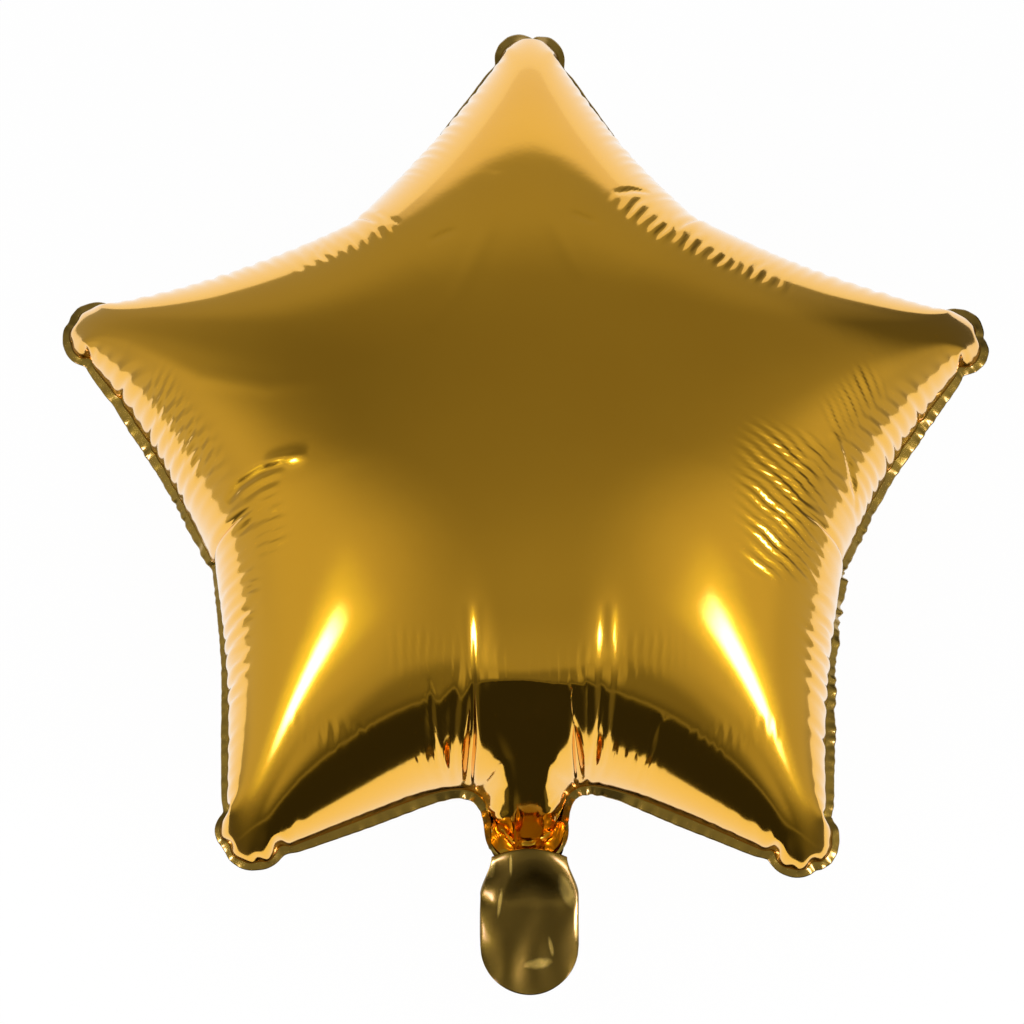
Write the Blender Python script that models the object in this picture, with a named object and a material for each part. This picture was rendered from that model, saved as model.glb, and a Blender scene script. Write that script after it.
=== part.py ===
# A star foil balloon, filled, lying on its back.
# Two sheets of gold film are sealed round a star outline with a filling neck and a flat tail.
# Filled, it is one closed body: +Z comes out of its front, +Y points to the top tip,
# and the origin is the middle of the small flat spot that it rests on.

import math

import bmesh
import bpy
import numpy as np

# Star, measured on the filled balloon along the line where the two sheets are sealed
TIPS = 5
TIP_RADIUS = 0.2205          # centre to the seal at a tip
FOOT_RADIUS = 0.1385         # centre to the seal at the inner corner that has the neck
SIDE_RADIUS = 0.1465         # centre to the seal at the two inner corners beside it
HEAD_RADIUS = 0.1360         # centre to the seal at the two inner corners beside the top arm
TIP_ROUND = 0.0087           # plan radius of the seal round a tip
INNER_ROUND = 0.0100         # plan radius of the seal round an inner corner
EDGE_HOLLOW = 0.0040         # how far the seal bows in between a corner and a tip
HALF_THICKNESS = 0.0990      # seal plane to the top of the dome
CORNER_BULGE = 0.0025        # push of the film past the seal at an inner corner
EDGE_BULGE = 0.0005          # push of the film past the seal along an arm
CORNER_SHARE = 0.62          # share of half an arm over which the one fades to the other
TIP_SHARE = 0.17             # share of half an arm over which the push dies at the tip
DOME_FULLNESS = 2.9          # power of the place across: higher keeps the middle flatter
DOME_SHOULDER = 0.448        # power of the height: lower makes the sides steeper
REST_DEPTH = 0.0010          # how far the back is pressed flat where it rests

# Sealed border
BORDER = 0.0080              # width of the border outside the seal
BORDER_THICKNESS = 0.0006    # two films, drawn thick enough to be a sound solid
TIP_BORDER = 0.0045          # width of the border at the end of a tip
TIP_BORDER_SPREAD = 0.0070   # distance along the seal over which it widens again

# Neck and tail
NECK_HALF_WIDTH = 0.0185     # half width of the neck at its narrowest
NECK_LENGTH = 0.0370         # how far the neck reaches past the inner corner
NECK_FLARE = 0.0150          # width of the fillet between the neck and the star
NECK_FROM = 50               # ring from which the film is drawn out into the neck
NECK_CURVE = 1.4             # power of that draw: higher keeps the star's wall rounder
NECK_FLATTEN = 0.55          # share of the height that the neck loses towards its end
TAIL_WIDTH = 0.0445          # width of the flat tail, which has a half-round end
TAIL_REACH = 0.2330          # centre of the star to the end of the tail
SHOULDER_RISE = 0.0060       # how far the tail's shoulders stand above the end of the neck

# Gathers and creases at the inner corners
PLEAT_DEPTH = 0.0016         # depth of the short gathers beside an inner corner
PLEAT_SPREAD = 0.0380        # distance along the seal that they fade over
PLEATS_FROM = 50             # ring from which they start
PLEATS_FULL = 75             # ring at which they are deepest
SEAL_PLEAT_SHARE = 0.4       # share of their depth that is left on the seal
CREASE_DEPTH = 0.0042        # depth of the long creases
CREASE_WIDTH = 0.0045        # half width of a long crease
CREASE_PLACE = 0.0290        # distance along the seal from an inner corner to a long crease
CREASES_FROM = 28            # ring from which they start
CREASES_FULL = 68            # ring at which they are deepest

# A ring is a closed line round the star. Its number is an angle: 0 is the star's centre and 90
# is the seal, and the sine of the angle is its share of the way out. Half an arm has this many
# points on the inner, middle and outer rings.
INNER_POINTS = 7
MIDDLE_POINTS = 2 * INNER_POINTS
OUTER_POINTS = 4 * INNER_POINTS
SEAL_RING = 90
OUTER_RINGS = (SEAL_RING, 85, 79, 72, 64, 55)
MIDDLE_RINGS = (46, 37, 28)
INNER_RINGS = (18, 9)
TAIL_ROUND_POINTS = 6        # points on a quarter turn of the tail's round end

# The inner corners before and after each arm, anticlockwise from the lower right arm
ARM_CORNERS = (
    (FOOT_RADIUS, SIDE_RADIUS), (SIDE_RADIUS, HEAD_RADIUS), (HEAD_RADIUS, HEAD_RADIUS),
    (HEAD_RADIUS, SIDE_RADIUS), (SIDE_RADIUS, FOOT_RADIUS),
)

GOLD = (0.80, 0.50, 0.10, 1.0)
GOLD_ROUGHNESS = 0.12

SEAL_HEIGHT = HALF_THICKNESS - REST_DEPTH
HALF_ARM = math.pi / TIPS
ARC_STEP = 0.0004            # spacing of the dense points that a curve is read from
EDGE_STEPS = 60
CORNER_CROWDING = 1.1        # power that draws the points of a ring towards an inner corner
NORMAL_STEP = 0.002          # share of a path over which its direction is read


def clear_scene():
    for item in list(bpy.data.objects):
        bpy.data.objects.remove(item, do_unlink=True)


def polar(radius, angle):
    return np.array([radius * math.cos(angle), radius * math.sin(angle)])


def arc(centre, radius, start, end):
    """Points of an arc, close enough together to be read as a curve."""
    count = max(3, int(abs(end - start) * radius / ARC_STEP))
    angles = np.linspace(start, end, count)
    return centre + radius * np.stack([np.cos(angles), np.sin(angles)], 1)


def half_arm_seal(inner_radius):
    """The seal from an inner corner at angle -HALF_ARM to the tip on +X, as a dense path.

    A corner arc, an edge and a tip arc, each tangent to the next. The corner arc is centred
    outside the star on the corner's own line, and the tip arc inside it on +X. The edge then
    bows in, most at its middle and with no kink at its ends.
    """
    corner_centre = polar(inner_radius + INNER_ROUND, -HALF_ARM)
    tip_centre = np.array([TIP_RADIUS - TIP_ROUND, 0.0])
    across = tip_centre - corner_centre
    reach = float(np.hypot(*across))
    # The edge is the inner tangent of the two circles: it leaves one on each side of the line
    lean = math.asin((INNER_ROUND + TIP_ROUND) / reach)
    edge_angle = math.atan2(across[1], across[0]) - lean
    normal = edge_angle + math.pi / 2
    corner_arc = arc(corner_centre, INNER_ROUND, math.pi - HALF_ARM, normal)
    tip_arc = arc(tip_centre, TIP_ROUND, normal - math.pi, 0.0)
    straight = np.linspace(corner_arc[-1], tip_arc[0], EDGE_STEPS)[1:-1]
    path = np.concatenate([corner_arc, straight, tip_arc])
    places = lengths_along(path)
    places /= places[-1]
    inward = np.array([math.cos(edge_angle + math.pi / 2), math.sin(edge_angle + math.pi / 2)])
    return path + EDGE_HOLLOW * (np.sin(math.pi * places) ** 2)[:, None] * inward


def lengths_along(path):
    steps = np.hypot(*np.diff(path, axis=0).T)
    return np.concatenate([[0.0], np.cumsum(steps)])


def read_path(path, shares):
    """Points of a path at shares of its length."""
    lengths = lengths_along(path)
    places = np.asarray(shares) * lengths[-1]
    return np.stack([np.interp(places, lengths, path[:, i]) for i in (0, 1)], -1)


def turned(points, angle):
    c, s = math.cos(angle), math.sin(angle)
    x, y = points[..., 0], points[..., 1]
    return np.stack([c * x - s * y, s * x + c * y], -1)


def outward(path, shares):
    """Unit normals of a half arm's seal, pointing away from the star."""
    ahead = read_path(path, np.clip(shares + NORMAL_STEP, 0, 1))
    behind = read_path(path, np.clip(shares - NORMAL_STEP, 0, 1))
    run = ahead - behind
    run /= np.hypot(run[..., 0], run[..., 1])[..., None]
    return np.stack([run[..., 1], -run[..., 0]], -1)


def smooth(x):
    x = np.clip(x, 0.0, 1.0)
    return x * x * (3.0 - 2.0 * x)


def shares_for(points):
    """Shares of a half arm's seal, a little closer together near the inner corner."""
    every = OUTER_POINTS // points
    return (np.arange(0, OUTER_POINTS + 1, every) / OUTER_POINTS) ** CORNER_CROWDING


def dome(place):
    """Share of the height left at a place across the star, 0 at its centre and 1 at the seal."""
    return np.maximum(0.0, 1 - place ** DOME_FULLNESS) ** DOME_SHOULDER


def valley(place):
    """Slope that levels the film across the line from the centre to an inner corner.

    The patches on both sides of that line lean on each other by the cosine of a whole arm's angle,
    and this cancels the lean, so the two sheets of height meet there without a fold.
    """
    fall = DOME_SHOULDER * DOME_FULLNESS * place ** (DOME_FULLNESS - 1)
    lean = math.cos(2 * HALF_ARM) * (1 - place)
    return fall * lean / np.maximum(1e-6, 1 - place ** DOME_FULLNESS)


def half_arm_ring(ring, shares, corner, far_corner):
    """Plan points and heights of one ring over the half arm below +X, from corner to tip.

    The two radii are those of the inner corners on this side of the arm and on the other.

    The arm between two inner corners is a patch with two parameters, u and v. Both are 0 at the
    star's centre, u is 1 on this half arm's seal and v is 1 on the other half arm's seal. A ring
    is a line of u = sin(ring angle), with v from 0 to u. The height is the product of a dome in u
    and a dome in v, which rounds the arm across and lets its ridge fall in a curve to the tip.
    """
    path = half_arm_seal(corner)
    mirrored = half_arm_seal(far_corner) * [1.0, -1.0]
    tip = path[-1]
    u = math.sin(math.radians(ring))
    v = u * shares
    ours = read_path(path, v)
    other = read_path(mirrored, [u])[0]
    plan = v[:, None] * other + u * ours - (u * v)[:, None] * tip
    height = HALF_THICKNESS * dome(u) * dome(v) * (1 - valley(u) * v - valley(v) * u)
    return plan + outward(path, shares) * film_push(ring, shares, path)[:, None], height


def film_push(ring, shares, path):
    """How far the film of one ring stands out past its plain place, along the half arm.

    It bulges past the seal, most at the inner corner and least along the arm, with short gathers
    whose crests and valleys are every other point, and one long crease that runs in from the seal.
    """
    place = math.sin(math.radians(ring))
    wall = 2 * place ** 2 * math.cos(math.radians(ring))
    bulge = EDGE_BULGE + (CORNER_BULGE - EDGE_BULGE) * smooth(1 - shares / CORNER_SHARE)
    push = bulge * wall * np.minimum(1.0, (1 - shares) / TIP_SHARE)
    from_corner = shares * lengths_along(path)[-1]
    if len(shares) == OUTER_POINTS + 1:
        crest = 1 - 2 * (np.arange(len(shares)) % 2)
        grown = smooth((ring - PLEATS_FROM) / (PLEATS_FULL - PLEATS_FROM))
        kept = SEAL_PLEAT_SHARE if ring == SEAL_RING else 1.0
        push = push + PLEAT_DEPTH * grown * kept * crest * np.exp(-(from_corner / PLEAT_SPREAD) ** 2)
    grown = smooth((ring - CREASES_FROM) / (CREASES_FULL - CREASES_FROM))
    crease = np.exp(-((from_corner - CREASE_PLACE) / CREASE_WIDTH) ** 2)
    return push - CREASE_DEPTH * grown * place * crease


def pull_neck(plan, height, ring):
    """Draws the film at the bottom inner corner out into the neck."""
    sideways = np.abs(plan[:, 0])
    inside = (plan[:, 1] < 0) * (1 - smooth((sideways - NECK_HALF_WIDTH) / NECK_FLARE))
    way = max(0.0, (ring - NECK_FROM) / (SEAL_RING - NECK_FROM))
    drawn = inside * way ** NECK_CURVE
    below = np.stack([np.zeros_like(drawn), -NECK_LENGTH * drawn], 1)
    return plan + below, height * (1 - NECK_FLATTEN * drawn)


def all_round(half_arm):
    """Lays ten half arms round the star, anticlockwise from the bottom inner corner.

    half_arm gives the plan points and heights of a half arm from the radii of its own inner
    corner and of the one on the other side of the arm.
    """
    plans, heights = [], []
    for arm, (first, second) in enumerate(ARM_CORNERS):
        middle = -math.pi / 2 + HALF_ARM * (2 * arm + 1)
        plan, height = half_arm(first, second)
        plans.append(turned(plan, middle)[:-1])
        heights.append(height[:-1])
        plan, height = half_arm(second, first)
        plans.append(turned(plan * [1.0, -1.0], middle)[:0:-1])
        heights.append(height[:0:-1])
    return np.concatenate(plans), np.concatenate(heights)


def full_ring(ring, points):
    """Plan points and heights of one ring round the whole star."""
    shares = shares_for(points)
    plan, heights = all_round(lambda near, far: half_arm_ring(ring, shares, near, far))
    return pull_neck(plan, heights, ring)


def border_step(corner, far_corner):
    """How far the border's edge lies outside the seal of a half arm, at each of its points."""
    shares = shares_for(OUTER_POINTS)
    path = half_arm_seal(corner)
    from_tip = (1 - shares) * lengths_along(path)[-1]
    width = BORDER - (BORDER - TIP_BORDER) * np.exp(-(from_tip / TIP_BORDER_SPREAD) ** 2)
    return outward(path, shares) * width[:, None], width


def border_ring():
    """The outer edge of the sealed border, with the flat tail."""
    seal, _ = full_ring(SEAL_RING, OUTER_POINTS)
    step, _ = all_round(border_step)
    edge = seal + step

    half = TAIL_WIDTH / 2
    end_centre = np.array([0.0, half - TAIL_REACH])
    angles = np.linspace(-math.pi / 2, 0.0, TAIL_ROUND_POINTS)
    round_end = end_centre + half * np.stack([np.cos(angles), np.sin(angles)], 1)
    shoulder = np.array([half, -FOOT_RADIUS - NECK_LENGTH + SHOULDER_RISE])
    tail = np.concatenate([round_end, [(round_end[-1] + shoulder) / 2, shoulder]])
    edge[:len(tail)] = tail
    edge[1 - len(tail):] = (tail * [-1.0, 1.0])[:0:-1]
    return edge


def add_ring(mesh, plan, heights):
    return [mesh.verts.new((x, y, z)) for (x, y), z in zip(plan, heights)]


def join(mesh, outer, inner, front):
    """Faces between two rings. The outer ring has as many points as the inner, or twice as many."""
    step = len(outer) // len(inner)
    for i in range(len(inner)):
        j = (i + 1) % len(inner)
        around = [outer[(i * step + k) % len(outer)] for k in range(step + 1)]
        if step == 1:
            faces = [(around[0], around[1], inner[j]), (around[0], inner[j], inner[i])]
        else:
            faces = [(around[0], around[1], inner[i]), (around[1], inner[j], inner[i]),
                     (around[1], around[2], inner[j])]
        for face in faces:
            mesh.faces.new(face if front else face[::-1])


def add_panel(mesh, front):
    """One film sheet, from the seal in to the centre. The back rests on its flattened middle."""
    rings = [(angle, OUTER_POINTS) for angle in OUTER_RINGS]
    rings += [(angle, MIDDLE_POINTS) for angle in MIDDLE_RINGS]
    rings += [(angle, INNER_POINTS) for angle in INNER_RINGS]
    before = None
    for angle, points in rings:
        plan, height = full_ring(angle, points)
        height = height + BORDER_THICKNESS / 2
        if front:
            heights = SEAL_HEIGHT + height
        else:
            heights = SEAL_HEIGHT - np.minimum(height, SEAL_HEIGHT)
        ring = add_ring(mesh, plan, heights)
        if before:
            join(mesh, before, ring, front)
        else:
            seal = ring
        before = ring
    top = SEAL_HEIGHT + HALF_THICKNESS + BORDER_THICKNESS / 2 if front else 0.0
    middle = mesh.verts.new((0.0, 0.0, top))
    for i, vert in enumerate(before):
        face = (vert, before[(i + 1) % len(before)], middle)
        mesh.faces.new(face if front else face[::-1])
    return seal


def build_balloon():
    mesh = bmesh.new()
    front_seal = add_panel(mesh, True)
    back_seal = add_panel(mesh, False)
    edge = border_ring()
    upper = add_ring(mesh, edge, np.full(len(edge), SEAL_HEIGHT + BORDER_THICKNESS / 2))
    lower = add_ring(mesh, edge, np.full(len(edge), SEAL_HEIGHT - BORDER_THICKNESS / 2))
    join(mesh, upper, front_seal, True)
    join(mesh, lower, back_seal, False)
    join(mesh, lower, upper, True)
    data = bpy.data.meshes.new("star_balloon")
    mesh.to_mesh(data)
    mesh.free()
    data.shade_smooth()
    data.set_sharp_from_angle(angle=math.radians(35))
    balloon = bpy.data.objects.new("star_balloon", data)
    bpy.context.scene.collection.objects.link(balloon)
    return balloon


def gold_film():
    """Metallised film: a plain mirror-like gold."""
    material = bpy.data.materials.new("gold_film")
    material.use_nodes = True
    shader = material.node_tree.nodes["Principled BSDF"]
    shader.inputs["Base Color"].default_value = GOLD
    shader.inputs["Metallic"].default_value = 1.0
    shader.inputs["Roughness"].default_value = GOLD_ROUGHNESS
    return material


clear_scene()
star_balloon = build_balloon()
star_balloon.data.materials.append(gold_film())
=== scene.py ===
import math

import bpy
import numpy as np
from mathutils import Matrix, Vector


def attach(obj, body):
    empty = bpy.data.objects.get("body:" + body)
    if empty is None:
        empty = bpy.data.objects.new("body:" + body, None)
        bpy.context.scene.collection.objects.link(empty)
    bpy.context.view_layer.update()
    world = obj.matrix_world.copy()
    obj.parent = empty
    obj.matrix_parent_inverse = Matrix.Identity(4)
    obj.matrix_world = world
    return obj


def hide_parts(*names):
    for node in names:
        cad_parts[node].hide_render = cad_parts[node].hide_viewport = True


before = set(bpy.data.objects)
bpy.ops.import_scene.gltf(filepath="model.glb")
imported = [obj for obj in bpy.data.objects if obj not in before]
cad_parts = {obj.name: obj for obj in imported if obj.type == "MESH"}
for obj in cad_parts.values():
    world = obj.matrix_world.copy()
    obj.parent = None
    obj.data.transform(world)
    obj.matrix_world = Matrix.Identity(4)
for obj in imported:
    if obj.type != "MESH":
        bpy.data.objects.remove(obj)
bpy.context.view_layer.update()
bpy.context.scene.view_settings.view_transform = "Standard"

mm = 0.001
single = np.float32
sealHeight = 98 * mm  # the plane of the seal in the CAD

# The photograph is taken from a little below the star's middle
view = {
    "target": (-6.8 * mm, -19.8 * mm, 92.7 * mm),  # what the middle of the frame shows
    "tilt": 16.3,  # degrees off straight down
    "distance": 0.915,
    "frameWidth": 0.4662,  # width that the frame shows at the star
    "sensor": 36.0,
}


# The directions to the camera, to its right and up
def cameraAxes():
    tilt = math.radians(view["tilt"])
    toward = np.array([0, -math.sin(tilt), math.cos(tilt)])
    right = np.array([1.0, 0, 0])
    return toward, right, np.cross(toward, right)


# A new object for this data, linked to the scene
def addObject(name, data):
    made = bpy.data.objects.new(name, data)
    bpy.context.scene.collection.objects.link(made)
    return made


# Puts an object at a place, with its back to this direction
def putAt(piece, place, back):
    piece.location = place
    piece.rotation_mode = "QUATERNION"
    piece.rotation_quaternion = Vector(back).to_track_quat("Z", "Y")


# The lens follows from the width that the frame shows at its distance
def makeCamera():
    data = bpy.data.cameras.new("camera")
    data.sensor_width = view["sensor"]
    data.lens = view["sensor"] * view["distance"] / view["frameWidth"]
    camera = addObject("camera", data)
    toward = cameraAxes()[0]
    putAt(camera, Vector(view["target"]) + Vector(toward) * view["distance"], toward)
    bpy.context.scene.camera = camera


makeCamera()
print("camera made")

# The flat star, as it is cut and sealed before it is filled
pattern = {
    "tip": 240 * mm,  # centre to the seal at a tip
    "tipExtra": 0.55,  # a tip's corner is drawn this share of its rounding further out
    "tipShares": [0.99, 1, 1, 1, 0.99],  # anticlockwise from the lower right arm
    "inner": 194 * mm,  # centre to the seal at an inner corner
    "innerShares": [1.035, 1, 1, 1.035],  # likewise, from the lower right corner
    "tipRound": 30 * mm,
    "innerRound": 60 * mm,
    "border": 6.5 * mm,  # sealed border outside the seal
    "neckBorder": 4.5 * mm,
    "borderRows": 4,
    # share of the border's width, along an edge from the inner corner to the tip
    "ears": [(0, 1), (0.86, 1), (0.93, 1.25), (0.985, 0.8), (1, 0.5)],
    "neckHalf": 17.5 * mm,
    "neckEnd": 219 * mm,
    "neckRound": 9 * mm,
    "neckFillet": 14 * mm,
    "neckBlend": 12 * mm,  # way over which the border narrows to the neck's
    "neckReach": 40 * mm,  # how far to either side that is looked for
    "lineStep": 0.5 * mm,  # spacing of the points on the drawn line
    "evenRounds": 150,  # rounds by which the flat grids are evened out
}

# How the film behaves when gas fills it. Each grid has rounds of steps, with the push of
# the gas and the share of speed that is kept.
filling = {
    "crush": 1.0,  # resistance to shortening
    "bend": 0.05,  # resistance to sharp folds
    "borderBend": 0.3,  # the sealed border is two films thick
    "skew": 0.7,  # share of the resistance along diagonals
    "borderPush": 0.5,  # how firmly the border stands away from the films
    "borderReaction": 3.0,  # share of that which the seal feels the other way
    # how far it turns down, along an edge from the inner corner to the tip
    "borderTurn": [
        (0, 3), (0.28, 3), (0.38, 0.3), (0.8, 0.3), (0.85, 2.0), (0.88, 2.0), (0.92, 0), (1, 0),
    ],
    "borderBack": 16,  # its way out is taken from this share of a kite inside
    "borderEvery": 10,  # steps between two looks at it
    "startHeight": 20 * mm,
    "startNoise": 0.5 * mm,
    "levelNoise": 0.96 * mm,  # divided by the grid size at each doubling
    "seed": 3,  # of the noise
    "area": 0.13,  # of the flat star, in square metres
    "restHeight": 98 * mm,  # the floor, below the seal
    "levels": {
        16: [(300, 0.01, 0.9), (300, 0.002, 0.8)],
        32: [(300, 0.004, 0.9), (400, 0.001, 0.9)],
        64: [(400, 0.002, 0.95), (400, 0.0005, 0.95)],
        128: [(250, 0.001, 0.97), (250, 0.0002, 0.95)],
    },
}


# A curve's value at these places, from its pairs of place and value
def curve(place, pairs):
    return np.interp(place, *np.transpose(pairs))


# Share that grows from 0 at the start to 1 after this way. A negative way goes down.
def grow(place, start, way):
    return np.clip((place - start) / way, 0, 1)


# The same with soft ends, by 3 x x - 2 x x x
def soften(x):
    return x * x * (3 - 2 * x)


# The point at this radius and angle
def polar(radius, degrees):
    return radius * np.array([np.cos(np.radians(degrees)), np.sin(np.radians(degrees))])


# Closed line through the corners, each rounded by the arc that touches both sides
def roundedLine(corners):
    line = []
    for i, (here, radius) in enumerate(corners):
        before = corners[i - 1][0] - here
        after = corners[(i + 1) % len(corners)][0] - here
        before = before / np.hypot(*before)
        after = after / np.hypot(*after)
        half = np.arccos(np.clip(before @ after, -1, 1)) / 2
        middle = here + (before + after) / np.hypot(*(before + after)) * radius / np.sin(half)
        start = here + before * radius / np.tan(half) - middle
        end = here + after * radius / np.tan(half) - middle
        first = np.arctan2(start[1], start[0])
        turn = (np.arctan2(end[1], end[0]) - first + np.pi) % (2 * np.pi) - np.pi
        count = max(2, int(abs(turn) * radius / pattern["lineStep"]))
        angles = first + turn * np.linspace(0, 1, count)
        line.append(middle + radius * np.stack([np.cos(angles), np.sin(angles)], 1))
    return np.concatenate(line)


# The seal: five tips, four inner corners, and the neck in place of the fifth
def sealLine():
    tip = pattern["tip"] + pattern["tipExtra"] * pattern["tipRound"]
    inner, neck = pattern["inner"], pattern["neckHalf"]
    share = neck / polar(pattern["tip"], 306)[0]
    root = polar(inner, 270) * (1 - share) + polar(pattern["tip"], 306) * share
    corner = np.array([neck, -pattern["neckEnd"]])
    flip = np.array([-1, 1])
    star = []
    for k in range(5):
        reach = tip * pattern["tipShares"][k]
        star.append((polar(reach, 306 + 72 * k), pattern["tipRound"]))
        if k < 4:
            reach = inner * pattern["innerShares"][k]
            star.append((polar(reach, 342 + 72 * k), pattern["innerRound"]))
    return roundedLine(
        [(corner, pattern["neckRound"]), (root, pattern["neckFillet"])]
        + star
        + [(root * flip, pattern["neckFillet"]), (corner * flip, pattern["neckRound"])]
    )


# Evenly spaced points along an open line
def spread(line, count):
    along = np.concatenate([[0], np.cumsum(np.hypot(*np.diff(line, axis=0).T))])
    places = np.linspace(0, along[-1], count + 1)
    return np.stack([np.interp(places, along, line[:, i]) for i in (0, 1)], 1)


# The two edges of each arm, from an inner corner to the tip
def cutEdges(size):
    line = sealLine()

    def nearest(angle):
        angles = np.degrees(np.arctan2(line[:, 1], line[:, 0]))
        return int(np.argmin(np.abs((angles - angle + 180) % 360 - 180)))

    line = np.roll(line, -nearest(270), axis=0)
    stops = [0] + [nearest(270 + 36 * k) for k in range(1, 10)] + [len(line)]
    line = np.concatenate([line, line[:1]])
    return np.array([
        [
            spread(line[stops[2 * k]:stops[2 * k + 1] + 1], size),
            spread(line[stops[2 * k + 1]:stops[2 * k + 2] + 1], size)[::-1],
        ]
        for k in range(5)
    ])


before = [4, 0, 1, 2, 3]  # the arm before each arm


# Each arm is a kite with its corners at the centre, two inner corners and the tip, laid
# out along its two edges and then evened
def flatKites(edge):
    size = edge.shape[2] - 1
    u = np.linspace(0, 1, size + 1)[:, None, None]
    v = u.transpose(1, 0, 2)
    kites = np.array([
        v * edge[k, 1][:, None] + u * edge[k, 0][None] - u * v * edge[k, 0][-1]
        for k in range(5)
    ])
    for _ in range(pattern["evenRounds"]):
        even = kites.copy()
        even[:, 1:-1, 1:-1] = 0.25 * (
            kites[:, 2:, 1:-1] + kites[:, :-2, 1:-1] + kites[:, 1:-1, 2:] + kites[:, 1:-1, :-2]
        )
        spoke = 0.25 * (
            kites[:, 2:, 0] + kites[:, :-2, 0] + kites[:, 1:-1, 1] + kites[before][:, 1, 1:-1]
        )
        even[:, 1:-1, 0] = even[before, 0, 1:-1] = spoke
        kites = even
    kites[:, 0, 0] = kites[:, 0, 0].mean(0)
    return kites


# The border's rows are set out from each edge along its normal
def flatBorder(edge):
    rows = pattern["borderRows"]
    run = np.gradient(edge, axis=2)
    run /= np.linalg.norm(run, axis=-1, keepdims=True)
    normal = np.stack([run[..., 1], -run[..., 0]], -1)
    normal[:, 1] *= -1
    beside = grow(-edge[..., 1], pattern["inner"], pattern["neckBlend"])
    beside = beside * (np.abs(edge[..., 0]) < pattern["neckReach"])
    place = np.linspace(0, 1, edge.shape[2])
    width = pattern["border"] * curve(place, pattern["ears"])
    width = width + (pattern["neckBorder"] - width) * beside
    reach = np.arange(rows + 1) / rows
    return edge[:, :, None] + (
        normal[:, :, None] * width[:, :, None, :, None] * reach[None, None, :, None, None]
    )


bondKinds = [
    ("side", 1, 0), ("side", 0, 1), ("skew", 1, 1), ("skew", 1, -1), ("bend", 2, 0), ("bend", 0, 2),
]


# Pairs of neighbours with their squared distance when flat, in groups that share no point
def bonds(flat):
    made = []
    rows, columns = flat.shape[-2:]
    for kind, down, across in bondKinds:
        stride = 4 if kind == "bend" else 2
        for start in range(stride):
            if down:
                u, uNext = slice(start, rows - down, stride), slice(start + down, rows, stride)
                v = slice(max(0, -across), columns - max(0, across))
                vNext = slice(max(0, across), columns - max(0, -across))
            else:
                u = uNext = slice(0, rows)
                v = slice(start, columns - across, stride)
                vNext = slice(start + across, columns, stride)
            first, second = (Ellipsis, u, v), (Ellipsis, uNext, vNext)
            if flat[first].size:
                made.append((kind, first, second, ((flat[second] - flat[first]) ** 2).sum(0)))
    return made


# Each pair is moved back towards its flat distance: film hardly stretches, gives way a
# little when it is shortened, and resists folds only weakly
def holdTogether(points, groups, bend):
    crush = single(filling["crush"])
    skew = single(filling["skew"])
    for kind, first, second, rest in groups:
        a, b = points[first], points[second]
        apart = b - a
        share = rest / (np.einsum("i...,i...->...", apart, apart) + rest) - single(0.5)
        if kind == "side":
            share = np.where(share > 0, crush * share, share)
        elif kind == "skew":
            share = np.where(share > 0, crush * skew * share, skew * share)
        else:
            share = np.where(share > 0, single(bend) * share, single(0))
        apart *= share
        a -= apart
        b += apart


# The kites meet along the spokes, both films and the border meet along the seal, and the
# border's strips share their ends
def meet(film, border):
    half = single(0.5)
    spoke = half * (film[:, :, :, :, 0] + film[:, :, before, 0, :])
    film[:, :, :, :, 0] = film[:, :, before, 0, :] = spoke
    film[:, :, :, 0, 0] = film[:, :, :, 0, 0].mean(2)[:, :, None]
    for side, line in ((0, np.s_[:, :, :, -1, :]), (1, np.s_[:, :, :, :, -1])):
        seal = (film[line].mean(1) * 2 + border[:, :, side, 0]) / 3
        film[line] = seal[:, None]
        border[:, :, side, 0] = seal
    tip = half * (border[:, :, 0, :, -1] + border[:, :, 1, :, -1])
    border[:, :, 0, :, -1] = border[:, :, 1, :, -1] = tip
    corner = half * (border[:, :, 0, :, 0] + border[:, before][:, :, 1, :, 0])
    border[:, :, 0, :, 0] = corner
    for k in range(5):
        border[:, k - 1, 1, :, 0] = corner[:, k]


# The gas pushes each point along the film's normal, by the area round it: a quarter of
# half the cross product of each quad's diagonals
def gasPush(film):
    push = np.zeros_like(film)
    p = film[..., 1:, 1:] - film[..., :-1, :-1]
    q = film[..., :-1, 1:] - film[..., 1:, :-1]
    quad = np.stack([
        p[1] * q[2] - p[2] * q[1], p[2] * q[0] - p[0] * q[2], p[0] * q[1] - p[1] * q[0],
    ]) * single(0.125)
    push[..., :-1, :-1] += quad
    push[..., 1:, :-1] += quad
    push[..., :-1, 1:] += quad
    push[..., 1:, 1:] += quad
    push[:, 1] *= -1
    return push


# The border's way: on from the middle of both films, and down beside the inner corners
def borderWay(film, border):
    size = film.shape[-1] - 1
    back = max(1, size // filling["borderBack"])
    inside = np.stack([film[:, :, :, -1 - back, :].mean(1), film[:, :, :, :, -1 - back].mean(1)], 2)
    way = border[:, :, :, 0] - inside
    way /= np.sqrt((way * way).sum(0)) + single(1e-9)
    place = np.linspace(0, 1, size + 1, dtype=single)
    way[2] -= curve(place, filling["borderTurn"]).astype(single)
    way /= np.sqrt((way * way).sum(0)) + single(1e-9)
    return way[:, :, :, None]


# Twice as many steps along the given axes, with cubic midpoints
def finer(points, axes):
    for axis in axes:
        coarse = np.moveaxis(points, axis, 0)
        fine = np.empty((2 * len(coarse) - 1,) + coarse.shape[1:], points.dtype)
        fine[::2] = coarse
        fine[1::2] = 0.5 * (coarse[1:] + coarse[:-1])
        fine[3:-3:2] = (9 * (coarse[1:-2] + coarse[2:-1]) - (coarse[:-3] + coarse[3:])) / 16
        points = np.moveaxis(fine, 0, axis)
    return np.ascontiguousarray(points)


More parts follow.
